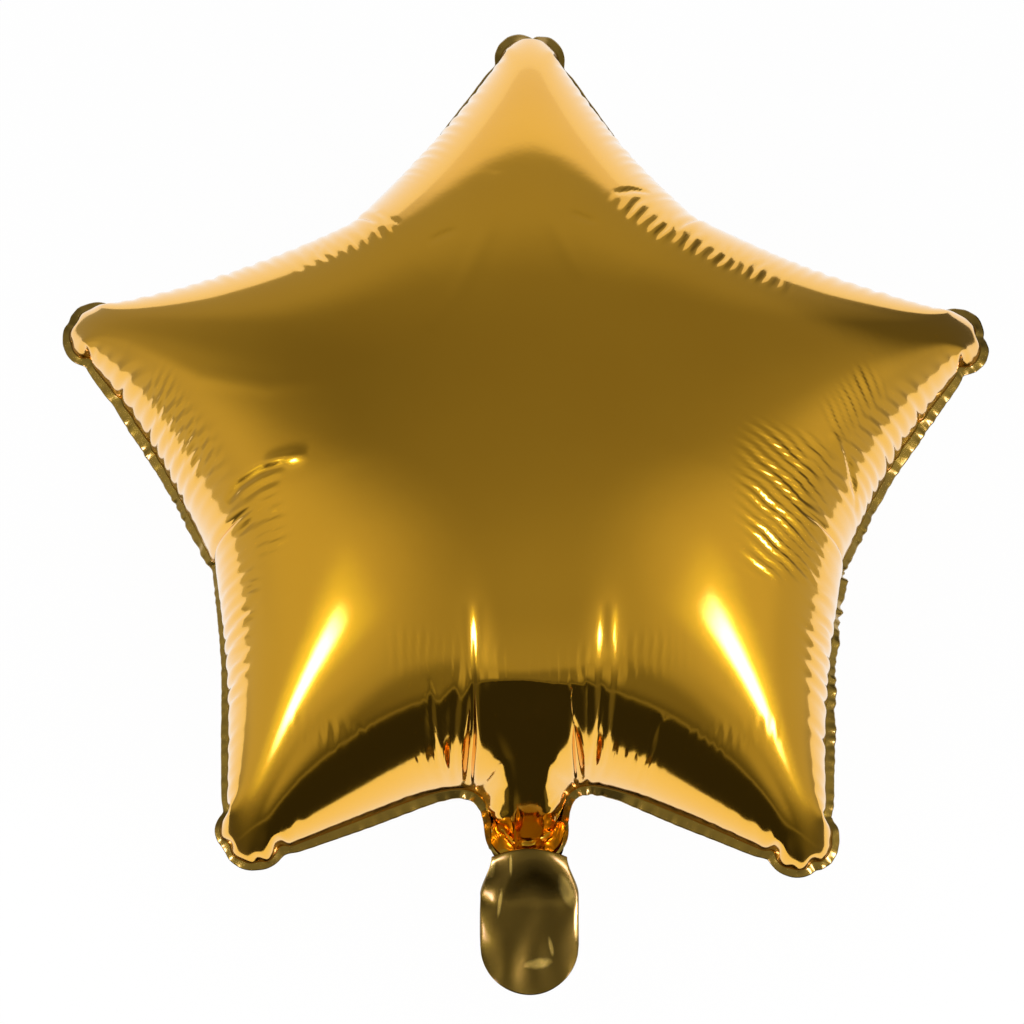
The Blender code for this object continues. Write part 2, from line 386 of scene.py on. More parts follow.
# Fills the flat star: at each step the points keep a share of their speed and the gas
# pushes them, then neighbours are held together and the films meet. The film is xyz, front
# or back, arm, u, v, and the border is xyz, arm, side of the arm, row, place.
def fillStar(finest):
    rng = np.random.default_rng(filling["seed"])
    film = border = None
    for size, rounds in filling["levels"].items():
        if size > finest:
            break
        edge = cutEdges(size)
        flat = np.zeros((3, 2, 5, size + 1, size + 1), single)
        flat[:2] = np.moveaxis(flatKites(edge), -1, 0)[:, None]
        flatEdge = np.zeros((3, 5, 2, pattern["borderRows"] + 1, size + 1), single)
        flatEdge[:2] = np.moveaxis(flatBorder(edge), -1, 0)
        meet(flat.copy(), flatEdge)
        if film is None:
            film, border = flat.copy(), flatEdge.copy()
            radius = np.hypot(flat[0, 0], flat[1, 0])
            dome = filling["startHeight"] * np.clip(1 - radius / pattern["tip"], 0, 1)
            film[2, 0] = dome
            film[2, 1] = -dome
            noise = filling["startNoise"]
            film[2] += rng.normal(0, noise, film.shape[1:])
            border[2] += rng.normal(0, noise, border.shape[1:])
        else:
            film, border = finer(film, (3, 4)), finer(border, (4,))
            noise = filling["levelNoise"] / size
            film += rng.normal(0, noise, film.shape).astype(single)
            border += rng.normal(0, noise, border.shape).astype(single)
        filmBonds, borderBonds = bonds(flat), bonds(flatEdge)
        meet(film, border)
        area = filling["area"] / (5 * size * size)
        rows = pattern["borderRows"]
        outward = np.arange(rows + 1, dtype=single) / rows * single(filling["borderPush"])
        outward[0] = -single(filling["borderReaction"]) * outward.sum()
        outward = outward[:, None]
        for steps, push, keep in rounds:
            force = single(push * pattern["tip"] / size / area)
            filmSpeed, borderSpeed = np.zeros_like(film), np.zeros_like(border)
            for step in range(steps):
                if step % filling["borderEvery"] == 0:
                    stand = borderWay(film, border) * outward
                    stand = stand * single(push * pattern["tip"] / size)
                filmWas, borderWas = film, border
                film = film + filmSpeed * single(keep) + gasPush(film) * force
                border = border + borderSpeed * single(keep) + stand
                meet(film, border)
                holdTogether(film, filmBonds, filling["bend"])
                holdTogether(border, borderBonds, filling["borderBend"])
                meet(film, border)
                film[2, 1] = np.maximum(film[2, 1], -single(filling["restHeight"]))
                filmSpeed, borderSpeed = film - filmWas, border - borderWas
        print("filled at grid", size, "height", round(float(film[2, 0, 0, 0, 0]), 4))
    return film


# The filled star goes where the CAD's is, with its tips at the same radius and its lowest
# film pressed flat on the floor. Trims move the rim, which isn't quite even.
placing = {
    "tipRadius": 217.0 * mm,
    "flatten": 0.968,  # share of the height kept, as the gas cools
    "pressed": 1.0 * mm,
    "evening": (2, 10),  # rounds by which the gathers are evened, rows from the seal
    "trims": [  # degrees, half width in degrees, millimetres outwards
        (162, 6, 3.0), (234, 7, -2.5), (342, 9, 2.5), (36, 9, -2.0), (70, 7, -2.5),
    ],
}


# The front of the neck, in mm: a narrow ramp between two crumpled walls
neck = {
    "fade": (6, 20),  # folds grow from this height over the seal, over this way
    "rampTop": (-98, 184),  # place along the star and height
    "rampSlopes": (0.62, 1.32, 16),  # slope there, slope below, and the way between them
    "rampHalf": [(-176, 4.5), (-160, 5.5), (-140, 10), (-132, 14), (-120, 20)],
    "rampMiddle": 0.5,
    "rampFrom": (-98, -18),  # start and way, as in grow
    "rampTo": (-179, 5),
    "rampLift": 1.0,  # the most by which the ramp raises the film
    "rampSeal": (0, 3),  # over the seal
    "middle": (5.5, 27, -108, 20, 4.5),  # bulge: place, half width, place, half length, height
    "crumpleFrom": (-150, -8),
    "crumpleTo": (-181, 5),
    "crumpleSides": (3, 6, 0.15),  # half width of the smooth middle, way, what is left there
    "crumpleEdge": (19.5, -4),
    "crumple": 1.2,  # height of the crumples, at the sides
    "crumpleSize": 5.5,
    "crumpleSlant": 0.4,  # how much they go up the wall
    "crumpleSeeds": (21, 22),  # front, back
    "puff": 2.2,  # how far the sides stand up between the seal and the ramp
    "stretch": 0.34,  # how much longer the neck's end is drawn
    "stretchFrom": -150,
    "stretchHalf": 40,
}


# A trim moves a point outwards by its amount, less towards the middle by the cube of
# the radius, and less to either side by a bell curve
def trim(points):
    radius = np.hypot(points[0], points[1])
    bearing = np.degrees(np.arctan2(points[1], points[0]))
    out = np.zeros(radius.shape)
    for angle, width, amount in placing["trims"]:
        off = (bearing - angle + 180) % 360 - 180
        out += amount * mm * np.exp(-((off / width) ** 2))
    points[:2] *= 1 + out * radius ** 2 / placing["tipRadius"] ** 3
    return points


# The end of the neck drawn out: points past its root move on in proportion
def drawNeck(points):
    beyond = np.maximum(0, neck["stretchFrom"] * mm - points[1])
    beyond = beyond * (np.abs(points[0]) < neck["stretchHalf"] * mm)
    points[1] -= beyond * neck["stretch"]
    return points


# Near the seal, each point moves towards the middle of its two neighbours
def evenGathers(film):
    rounds, reach = placing["evening"]
    rows = film.shape[-1]
    weight = 0.25 * np.clip((np.arange(rows) - rows + 1 + 2 * reach) / reach, 0, 1)
    for _ in range(rounds):
        for lines in (film, np.swapaxes(film, -1, -2)):
            lines[..., 1:-1] += weight[:, None] * (
                lines[..., 2:] + lines[..., :-2] - 2 * lines[..., 1:-1]
            )
    return film


# Scales the star to the CAD's tips, lowers it onto the floor, then evens and trims it
def placeStar(film):
    tips = film[:, 0, :, -1, -1]
    scale = placing["tipRadius"] / np.hypot(tips[0], tips[1]).mean()
    film = film.astype(float) * scale
    film[2] *= placing["flatten"]
    film[2] -= film[2, 1].min() + placing["pressed"]
    film[2] = np.maximum(film[2], 0)
    film = drawNeck(evenGathers(trim(film)))
    print("placed at scale", round(float(scale), 4), "top at", film[2].max().round(4))
    return film


finest = 128
film = placeStar(fillStar(finest))


# One mesh of the five kites of a film. The centre is point 0, and each kite borrows its
# first spoke from the kite before.
def filmMesh(name, points, outward):
    size = points.shape[-1] - 1
    own = np.moveaxis(points[:, :, :, 1:], 0, -1).reshape(-1, 3)
    places = np.concatenate([points[:, 0, 0, 0][None], own])
    index = np.zeros((5, size + 1, size + 1), int)
    index[:, :, 1:] = 1 + np.arange(5 * (size + 1) * size).reshape(5, size + 1, size)
    index[:, :, 0] = index[before, 0, :]
    index[:, 0, 0] = 0
    quads = gridQuads(index)
    if not outward:
        quads = quads[:, ::-1]
    return makeMesh(name, places, quads)


# A smooth mesh object from arrays of points and quads, linked to the scene
def makeMesh(name, places, quads):
    mesh = bpy.data.meshes.new(name)
    mesh.vertices.add(len(places))
    mesh.vertices.foreach_set("co", np.asarray(places, single).ravel())
    mesh.loops.add(quads.size)
    mesh.loops.foreach_set("vertex_index", quads.astype(np.int32).ravel())
    mesh.polygons.add(len(quads))
    mesh.polygons.foreach_set("loop_start", np.arange(0, quads.size, 4, dtype=np.int32))
    mesh.update(calc_edges=True)
    mesh.validate()
    mesh.shade_smooth()
    return addObject(name, mesh)


# Quads of a grid, or of several, from the numbers of its points
def gridQuads(index):
    corners = [index[..., :-1, :-1], index[..., 1:, :-1], index[..., 1:, 1:], index[..., :-1, 1:]]
    return np.stack(corners, -1).reshape(-1, 4)


# Numbers of the points of a grid, row by row
def numbers(rows, columns):
    return np.arange(rows * columns).reshape(rows, columns)


# A live Solidify of this thickness, half on each side
def thicken(piece, thickness):
    wall = piece.modifiers.new("wall", "SOLIDIFY")
    wall.thickness = thickness
    wall.offset = 0
    wall.use_even_offset = False


# Folds pressed into the front film after the filling. A crease is a line on the plan, its
# half width and its depth, all in mm, and below zero it stands up as a ridge.
creases = [
    ([(134, -8), (138, -15), (141, -21), (144, -29)], 1.1, 0.9),  # right inner corner
    ([(129, -4), (134, -11), (138, -17)], 1.6, -0.5),
    ([(-128, -33), (-122, -28), (-113, -25), (-100, -23)], 1.7, 1.5),  # left inner corner
    ([(-110, -22), (-100, -21), (-92, -21)], 2.6, -1.2),
    ([(-120, -34), (-112, -31), (-103, -29)], 1.4, 0.7),
    ([(-122, -47), (-115, -43), (-107, -41)], 1.2, 0.6),
    ([(38, 102), (46, 107), (54, 109)], 1.2, 0.9),  # upper right one
    ([(-56, 86), (-62, 93), (-66, 99)], 1.2, 0.6),  # upper left one
    ([(-41, -112), (-40, -127), (-38, -142)], 1.0, 0.8),
    ([(-37, -116), (-37, -127), (-36, -142)], 1.0, -0.5),
    ([(-24.5, -84), (-23.5, -119), (-22, -140)], 1.5, 0.38),
    ([(-21, -84), (-20, -119), (-19, -138)], 1.5, -0.38),
    ([(30, -84), (29.5, -119), (28, -140)], 1.5, 0.38),
    ([(33.5, -84), (33, -119), (31, -138)], 1.5, -0.38),
    ([(53, -126), (50, -138), (46, -148)], 1.0, 0.8),
    ([(56, -126), (53, -138), (49, -148)], 1.0, -0.5),
    ([(-13, 111), (-17, 78), (-27, 50), (-41, 29)], 4.0, -0.25),  # faint long streaks
    ([(7, 105), (11, 80), (21, 52)], 3.5, -0.25),
    ([(-177, 45), (-141, 22), (-109, 11), (-79, 10)], 4.0, -0.25),
    ([(-43, 73), (-36, 77), (-30, 79)], 1.6, 0.4),
    ([(18, 88), (24, 85), (30, 83)], 1.6, 0.4),
]

# A comb of short folds: the line along its middle, half length of each fold, the way the
# folds run in degrees, their spacing along the line, and their height, all in mm
combs = [
    ([(38, 104), (58, 84), (82, 74), (116, 64)], 7.5, 62, 5.4, 0.42),  # upper right
    ([(-104, 74), (-82, 79), (-56, 88)], 6.5, 118, 5.0, 0.34),  # upper left
    ([(-166, 30), (-150, 2), (-134, -20)], 7.5, 235, 3.9, 0.18),  # left, below its arm
    ([(-113, -33), (-108, -46), (-104, -60)], 7.0, 188, 4.2, 0.25),
    ([(108, -6), (105, -38), (108, -72)], 16.0, -33, 4.4, 0.40),  # right
    ([(122, -8), (118, -38), (118, -66)], 10.0, -38, 3.1, 0.14),
    ([(128, -4), (152, 26)], 8.0, -58, 3.9, 0.17),
    ([(-60, -100), (-20, -108), (28, -108), (66, -100)], 8.0, 90, 3.9, 0.11),
    ([(-100, -128), (-60, -136), (-24, -142)], 5.0, 96, 4.3, 0.12),
    ([(34, -142), (70, -136), (106, -128)], 5.0, 84, 4.3, 0.12),
    ([(-116, -60), (-121, -90), (-128, -120)], 5.0, 178, 4.0, 0.22),
    ([(124, -60), (127, -90), (134, -120)], 5.0, 2, 4.0, 0.22),
]

# How both are drawn, with spans in mm or in spacings of the comb
folding = {
    "creaseEnds": 0.3,  # share of a crease over which it fades at each end
    "combEnds": 0.12,
    "wobble": 0.9,  # radians by which the spacing is uneven
    "wobbleSpans": (1.3, 2.1, 3.7),
    "strength": 0.45,  # share by which the folds differ in height
    "strengthSpan": 2.3,
    "sway": [(0.45, 3.1, 4.7), (0.2, 1.9, None)],  # radians, span along a fold, span across
    "quarter": 1.57,
    "seed": 11,
}


# Nearest place on a broken line: the distance from it, and how far along it that is
def alongLine(x, y, line):
    line = np.array(line, float)
    lengths = np.hypot(*np.diff(line, axis=0).T)
    starts = np.concatenate([[0], np.cumsum(lengths)])
    best, place = np.full(x.shape, 1e9), np.zeros(x.shape)
    for a, b, start, length in zip(line[:-1], line[1:], starts, lengths):
        runX, runY = b - a
        t = np.clip(((x - a[0]) * runX + (y - a[1]) * runY) / length ** 2, 0, 1)
        off = np.hypot(x - a[0] - t * runX, y - a[1] - t * runY)
        place = np.where(off < best, start + t * length, place)
        best = np.minimum(off, best)
    return best, place, starts[-1]


crumpleWaves = 9
crumpleMean = 0.64  # mean of a folded sine


# Crumpled film: the mean of folded sines in seeded directions
def crumple(x, y, size, seed):
    rng = np.random.default_rng(seed)
    out = np.zeros(x.shape)
    for _ in range(crumpleWaves):
        angle, phase = rng.uniform(0, np.pi), rng.uniform(0, 2 * np.pi)
        wavelength = size * rng.uniform(0.6, 1.7)
        out += np.abs(np.sin(np.pi * (x * np.cos(angle) + y * np.sin(angle)) / wavelength + phase))
    return out / crumpleWaves - crumpleMean


# Height of all creases and combs over the film, in mm. A crease is a bell across its line
# that fades at its ends. A comb is a sine along its line, cut off along each fold. The
# neck's bulge is added.
def foldHeight(x, y):
    height = np.zeros(x.shape)
    for line, width, depth in creases:
        off, place, length = alongLine(x, y, line)
        ends = grow(np.minimum(place, length - place), 0, folding["creaseEnds"] * length)
        height -= depth * np.exp(-((off / width) ** 2)) * np.sqrt(ends)
    rng = np.random.default_rng(folding["seed"])
    for line, half, way, pitch, rise in combs:
        off, place, length = alongLine(x, y, line)
        normal = np.radians(way + 90)
        across = x * np.cos(normal) + y * np.sin(normal)
        wobble = sum(
            folding["wobble"] * np.sin(across / pitch / span + rng.uniform(0, 6.3))
            for span in folding["wobbleSpans"]
        )
        uneven = np.sin(across / pitch * folding["strengthSpan"] + rng.uniform(0, 6.3))
        strength = 1 + folding["strength"] * uneven
        ends = grow(np.minimum(place, length - place), 0, folding["combEnds"] * length)
        window = np.exp(-((off / half) ** 4)) * ends
        turned = normal + folding["quarter"]
        along = x * np.cos(turned) + y * np.sin(turned)
        for sway, span, spanAcross in folding["sway"]:
            bend = along / span + (across / spanAcross if spanAcross else 0)
            wobble = wobble + sway * np.sin(bend)
        height += rise * strength * window * np.sin(2 * np.pi * across / pitch + wobble)
    x0, halfX, y0, halfY, rise = neck["middle"]
    return height + rise * np.exp(-(((x - x0) / halfX) ** 6) - ((y - y0) / halfY) ** 2)


# Height of the neck's ramp at each place along the star, in mm: it falls from its top at
# the upper slope, which turns evenly into the lower one
def rampHeight(y):
    top, height = neck["rampTop"]
    upper, lower, between = neck["rampSlopes"]
    way = np.linspace(0, 90, 400)
    slope = upper + (lower - upper) * grow(way, 0, between)
    fall = np.concatenate([[0], np.cumsum(slope)[:-1]]) * way[1]
    return height - np.interp(top - y, way, fall)


# Moves a film's points along its normals by the folds and the neck's crumples, and up by
# the neck's ramp. The folds and the ramp fade out at the seal.
def foldFilm(piece, front):
    mesh = piece.data
    places, normals = np.empty(3 * len(mesh.vertices)), np.empty(3 * len(mesh.vertices))
    mesh.vertices.foreach_get("co", places)
    mesh.vertices.foreach_get("normal", normals)
    places, normals = places.reshape(-1, 3), normals.reshape(-1, 3)
    x, y, z = (places / mm).T
    over = np.abs(z - sealHeight / mm)
    if front:
        height = foldHeight(x, y) * grow(over, *neck["fade"])
        places += normals * (height * mm)[:, None]
        away = np.abs(x - neck["rampMiddle"]) / curve(y, neck["rampHalf"])
        ends = grow(y, *neck["rampFrom"]) * grow(y, *neck["rampTo"])
        share = np.exp(-(away ** 4)) * soften(ends) * grow(over, *neck["rampSeal"])
        places[:, 2] += np.minimum(rampHeight(y) - z, neck["rampLift"]) * share * mm
    smooth, way, least = neck["crumpleSides"]
    sides = np.clip((np.abs(x) - smooth) / way, least, 1) * grow(np.abs(x), *neck["crumpleEdge"])
    share = grow(y, *neck["crumpleFrom"]) * grow(y, *neck["crumpleTo"]) * sides
    seed = neck["crumpleSeeds"][0 if front else 1]
    rough = crumple(x, y + neck["crumpleSlant"] * z, neck["crumpleSize"], seed)
    rise = neck["puff"] + 2 * neck["crumple"] * rough
    places += normals * (rise * share * mm)[:, None]
    mesh.vertices.foreach_set("co", places.ravel())
    mesh.update()


frontFilm = filmMesh("frontFilm", film[:, 0], True)
backFilm = filmMesh("backFilm", film[:, 1], False)
foldFilm(frontFilm, True)
foldFilm(backFilm, False)
print("films made", len(frontFilm.data.polygons), "quads each")


# The sealed border: it leaves the seal outwards and turned down, and waves because the
# seal is gathered and its own edge isn't. Pairs run along an edge, from the inner corner
# at 0 to the tip at 1.
hem = {
    "width": 4.5 * mm,
    "widths": [(0, 0.9), (0.3, 0.9), (0.55, 1.05), (0.86, 0.7), (1, 0.7)],
    "turn": [(0, 50), (0.3, 42), (0.5, 26), (0.8, 24), (0.9, 20), (1, 25)],
    "wave": [(0, 0.25), (0.3, 0.16), (0.6, 0.08), (0.85, 0.08), (0.93, 0.12), (1, 0.2)],
    # the round ears beside each tip, added to the width: place along the edge, mm
    "ear": [(0.84, 0), (0.885, 0.8), (0.93, 3.4), (0.955, 4.0), (0.98, 2.8), (1, 0.3)],
    "ears": [0.1, 0.1, 0.45, 0.95, 1.0, 1.0, 1.0, 0.35, 0.1, 0.1],
    # width and waves of each arm's two edges, anticlockwise from the lower right arm
    "edgeWidths": [1.15, 1.2, 1.2, 0.95, 1.0, 1.0, 0.75, 1.15, 0.9, 1.1],
    "edgeWaves": [1, 2.2, 1.3, 0.6, 0.5, 0.5, 0.5, 1.2, 0.7, 1],
    "neckWidth": 3.2 * mm,
    "footWidth": 0.5 * mm,  # where the tail covers it, at the neck's foot
    "neckCrumple": 28,  # degrees by which its turn changes along the neck
    "neckFrom": (26 * mm, -132 * mm),  # half width and place that count as the neck
    "footFrom": (14 * mm, -170 * mm),  # and as its foot
    # the waves: weight, shortest and longest, seed
    "waves": [(0.8, 12 * mm, 50 * mm, 5), (1.1, 3.5 * mm, 8 * mm, 8)],
    "thickness": 0.35 * mm,
    "rows": 8,
    "blur": 3.0 * mm,  # how far the border's own line is evened out along the seal
    "blurs": (0.6, 1.5, 0.25),  # and its way out, width and turn, as shares of that
}


# The seal as one closed line round the star, with each point's place along its edge
def sealRing(film):
    size = film.shape[-1] - 1
    strips, shares = [], []
    place = np.linspace(0, 1, size + 1)
    for k in range(5):
        strips += [film[:, 0, k, -1, :-1], film[:, 0, k, :, -1][:, ::-1][:, :-1]]
        shares += [place[:-1], place[::-1][:-1]]
    return np.concatenate(strips, 1), np.concatenate(shares)


# Evens out a closed line by a bell curve of this width, by way of its Fourier series
def blurRing(values, width, step):
    waves = np.fft.rfftfreq(values.shape[-1], step)
    return np.fft.irfft(
        np.fft.rfft(values) * np.exp(-2 * (np.pi * width * waves) ** 2), values.shape[-1]
    )


# Waves round a closed line: a sum of seeded sines between two wavelengths, highest at 1
def wavyRing(length, count, shortest, longest, seed):
    rng = np.random.default_rng(seed)
    along = np.arange(count) / count
    out = np.zeros(count)
    for _ in range(60):
        wavelength = np.exp(rng.uniform(np.log(shortest), np.log(longest)))
        cycles = max(1, round(length / wavelength))
        out += np.sin(2 * np.pi * (cycles * along + rng.random()))
    return out / np.abs(out).max()


# Rows of the border: evened seal + width * (outwards by the turn's cosine, down by its
# sine), and the seal's own gathers, which fade towards the edge by the square of the way
def layBorder(film):
    seal, share = sealRing(film)
    count = seal.shape[1]
    step = np.linalg.norm(np.roll(seal, -1, 1) - seal, axis=0).mean()
    wayBlur, widthBlur, turnBlur = (part * hem["blur"] for part in hem["blurs"])
    smooth = blurRing(seal, hem["blur"], step)
    run = np.roll(smooth, -1, 1) - np.roll(smooth, 1, 1)
    out = np.stack([run[1], -run[0]])
    out = blurRing(out / np.hypot(*out), wayBlur, step)
    out /= np.hypot(*out)
    edgeWidth, edgeWave, ears = (
        np.repeat(hem[key], count // 10) for key in ("edgeWidths", "edgeWaves", "ears")
    )
    width = hem["width"] * curve(share, hem["widths"]) * edgeWidth
    width += mm * curve(share, hem["ear"]) * ears
    half, start = hem["neckFrom"]
    inNeck = np.exp(-((seal[0] / half) ** 8)) * (seal[1] < start)
    width += (hem["neckWidth"] - width) * inNeck
    half, start = hem["footFrom"]
    inFoot = np.exp(-((seal[0] / half) ** 4)) * (seal[1] < start)
    width += (hem["footWidth"] - width) * inFoot
    turn = np.radians(curve(share, hem["turn"]))
    height = curve(share, hem["wave"]) * edgeWave
    height = height * (1 - inNeck) + math.radians(hem["neckCrumple"]) * inNeck
    waves = sum(
        weight * wavyRing(count * step, count, shortest, longest, seed)
        for weight, shortest, longest, seed in hem["waves"]
    )
    turn = turn * (1 - inNeck) + height * waves
    width, turn = blurRing(width, widthBlur, step), blurRing(turn, turnBlur, step)
    rows = np.arange(hem["rows"] + 1)[:, None] / hem["rows"]
    way = np.stack([np.cos(turn) * out[0], np.cos(turn) * out[1], -np.sin(turn)])
    border = smooth[:, None] + way[:, None] * width * rows
    return border + (seal - smooth)[:, None] * (1 - rows) ** 2  # xyz, row, place


ring = layBorder(film)
index = numbers(*ring.shape[1:])
ringQuads = gridQuads(np.concatenate([index, index[:, :1]], 1))
sealedBorder = makeMesh("sealedBorder", ring.reshape(3, -1).T, ringQuads)
thicken(sealedBorder, hem["thickness"])
print("border made", len(ringQuads), "quads")

# The flat tail that the gas is filled in by
tail = {
    "half": 21.0 * mm,
    "middle": 0.6 * mm,  # place of its middle line
    "neckHalf": 16.0 * mm,  # half width where it leaves the neck
    "lap": 3.0 * mm,  # how far it lies over the neck's end
    "arch": 3.0 * mm,  # how much further it does so in the middle
    "climb": 0.9,  # how much it rises there, as a share of that way
    "shoulder": 24.0 * mm,  # length over which it widens
    "end": -234 * mm,
    "thickness": 0.5 * mm,
    "across": 96,
    "down": 72,
    "droop": 3.0 * mm,  # how far the end hangs below the seal
    "wave": (0.9 * mm, 2.1, 1.3, 0.7),  # height, radians across, down, at the start
    "ripple": 1.3 * mm,
    "ripples": 14,  # how many waves make it up
    "rippleTurn": 0.5,  # radians to either side of straight across
    "rippleLengths": (14, 34),  # in mm
    "rippleSpan": (22, 60),  # how far across and down they are counted
    "rippleShares": (0.35, 0.94),
    "seed": 4,
    "footHalf": 30 * mm,  # the seal's points that count as the neck's foot
    "footTop": -165 * mm,
}


# The tail's rows go from an arched line over the neck's foot to the round end, each from
# left to right, and its height is a slow wave with seeded ripples
def tailPoints():
    seal = ring[:, 0]
    foot = seal[:, (np.abs(seal[0]) < tail["footHalf"]) & (seal[1] < tail["footTop"])]
    s = np.linspace(-1, 1, tail["across"] + 1)
    t = np.linspace(0, 1, tail["down"] + 1)[:, None]
    x0 = tail["neckHalf"] * s
    y0 = foot[1].min() + tail["lap"] + tail["arch"] * (1 - s ** 2)
    z0 = foot[2].mean() + tail["thickness"]
    z0 = z0 + (tail["lap"] + tail["arch"]) * tail["climb"] * (1 - s ** 2)
    roundEnd = tail["end"] + tail["half"] * (1 - np.sqrt(np.clip(1 - s ** 2, 0, 1)))
    widen = soften(grow(t * (y0 - tail["end"]), 0, tail["shoulder"]))
    x = tail["middle"] + x0 * (1 - widen) + tail["half"] * s * widen
    y = y0 * (1 - t) + roundEnd * t
    z = z0 * (1 - widen) + (sealHeight - tail["droop"] * t ** 2) * widen
    height, across, down, first = tail["wave"]
    z = z + height * widen * np.sin(across * s + down * t + first)
    rng = np.random.default_rng(tail["seed"])
    acrossShare, downShare = tail["rippleShares"]
    for _ in range(tail["ripples"]):
        angle = rng.uniform(-tail["rippleTurn"], tail["rippleTurn"])
        phase = rng.uniform(0, 6.3)
        waves = 6.3 * np.hypot(*tail["rippleSpan"]) / rng.uniform(*tail["rippleLengths"])
        turned = s * np.cos(angle) * acrossShare + t * np.sin(angle) * downShare
        z = z + tail["ripple"] * widen * np.sin(waves * turned + phase) / 3
    return np.stack([x + 0 * t, y, z + 0 * s], 0)


grid = tailPoints()
fillingTail = makeMesh(
    "fillingTail", grid.reshape(3, -1).T, gridQuads(numbers(tail["down"] + 1, tail["across"] + 1))
)
thicken(fillingTail, tail["thickness"])
print("tail made")

# Gold film: a tinted lacquer over bright metal. The border and the tail are two films sealed
# together, and duller;
# their darker colour is painted shade, standing in for the dark surroundings that they mirror.
# Dents and wrinkles: depth in mm, and scale.
foils = {
    "goldFilm": {
        "colour": (0.95, 0.505, 0.03), "darker": (0.90, 0.46, 0.022), "roughness": (0.08, 0.13),
        "coat": 0.6, "coatRoughness": 0.07, "dents": (0.10, 38.0),
        "wrinkles": (0.010, 420.0),
    },
    "sealedFilm": {
        # darker than the gold film: painted shade for the dark surroundings that the border mirrors
        "colour": (0.52, 0.33, 0.05), "darker": (0.26, 0.15, 0.025), "roughness": (0.13, 0.24),
        "coat": 0.6, "coatRoughness": 0.1, "dents": (0.10, 160.0),
        "wrinkles": (0.03, 700.0),
    },
    "tailFilm": {
        # darker still: painted shade for the dark surroundings that the flat tail mirrors
        "colour": (0.30, 0.185, 0.03), "darker": (0.19, 0.115, 0.02), "roughness": (0.16, 0.3),
        "coat": 0.35, "coatRoughness": 0.12, "dents": (0.16, 70.0),
        # after its wrinkles come the painted glints: their bright colour, depth, edge and noise
        "wrinkles": (0.03, 520.0), "paintedGlintFoil": (1.0, 0.68, 0.2), "glintDepth": 40,
        "glintEdge": (2.6, 1.15), "glintNoise": (260, 4),  # steepness and start, size and detail
        # painted glints, bright patches that stand in for light caught on the crumpled tail: place,
        # half size in mm, slant
        "glintSpots": [
            ((-16.3, -181), (3.6, 7), 0), ((16.5, -191), (4.5, 10), 22),
            ((20.6, -203), (1.6, 12), 0), ((9.8, -214), (1.4, 6), 12),
            ((4.6, -221), (8.5, 3.4), 6), ((-7.3, -181), (1.1, 7), 0), ((-12, -196), (1.2, 9), -8),
        ],
    },
}


# Sets a node's inputs: another node's output is linked, anything else is the value
def setInputs(tree, node, inputs):
    for key, value in inputs.items():
        if isinstance(value, bpy.types.NodeSocket):
            tree.links.new(value, node.inputs[key])
        else:
            node.inputs[key].default_value = value


# The outputs of a new node with these inputs and settings
def addNode(tree, kind, inputs={}, **settings):
    node = tree.nodes.new("ShaderNode" + kind)
    for name, value in settings.items():
        setattr(node, name, value)
    setInputs(tree, node, inputs)
    return node.outputs


# Colour and roughness lie between their two values by soft noises, dents and wrinkles are bumps,
# and a painted glint, standing in for light caught by the film, is a round bright patch that a fine
# noise breaks up
def makeFoil(name, look):
    material = bpy.data.materials.new(name)
    material.use_nodes = True
    tree = material.node_tree
    place = addNode(tree, "TexCoord")["Object"]

    def noise(scale, detail):
        return addNode(tree, "TexNoise", {"Scale": scale, "Detail": detail, "Vector": place})["Fac"]

    def blend(share, first, second):
        inputs = {"Factor": share, "A": first, "B": (*second, 1)}
        return addNode(tree, "Mix", inputs, data_type="RGBA")["Result"]

    dentScale = look["dents"][1]
    colour = blend(noise(dentScale * 0.6, 3), (*look["darker"], 1), look["colour"])
    # painted glints: each spot mixes a bright colour into the foil, standing in for light caught on
    # the crumpled tail
    for (x, y), (halfX, halfY), slant in look.get("glintSpots", []):
        spot = addNode(tree, "Mapping", {
            "Vector": place, "Location": (x * mm, y * mm, sealHeight),
            "Rotation": (0, 0, math.radians(slant)),
            "Scale": (halfX * mm, halfY * mm, look["glintDepth"] * mm),
        }, vector_type="TEXTURE")
        patch = addNode(tree, "TexGradient", {"Vector": spot["Vector"]}, gradient_type="SPHERICAL")
        steepness, start = look["glintEdge"]
        inputs = {0: noise(*look["glintNoise"]), 1: start}
        broken = addNode(tree, "Math", inputs, operation="SUBTRACT")[0]
        inputs = {0: patch["Fac"], 1: steepness, 2: broken}
        share = addNode(tree, "Math", inputs, operation="MULTIPLY_ADD", use_clamp=True)[0]
        colour = blend(share, colour, look["paintedGlintFoil"])
    low, high = look["roughness"]
    inputs = {"Value": noise(dentScale * 1.7, 4), "To Min": low, "To Max": high}
    rough = addNode(tree, "MapRange", inputs)["Result"]
    bump = {"Strength": 1}
    for (depth, scale), detail in ((look["dents"], 2), (look["wrinkles"], 3)):
        bump.update(Distance=depth * mm, Height=noise(scale, detail))
        bump["Normal"] = addNode(tree, "Bump", bump)["Normal"]
    setInputs(tree, tree.nodes["Principled BSDF"], {
        "Base Color": colour, "Metallic": 1, "Roughness": rough, "Normal": bump["Normal"],
        "Coat Weight": look["coat"], "Coat Roughness": look["coatRoughness"],
    })
    return material


# the tail's foil carries the painted glints
gold, sealed, paintedGlintFoil = (makeFoil(name, look) for name, look in foils.items())
pieces = {frontFilm: gold, backFilm: gold, sealedBorder: sealed, fillingTail: paintedGlintFoil}
for piece, foil in pieces.items():
    piece.data.materials.append(foil)
    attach(piece, "root")
    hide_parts("star_balloon")
print("foil made")

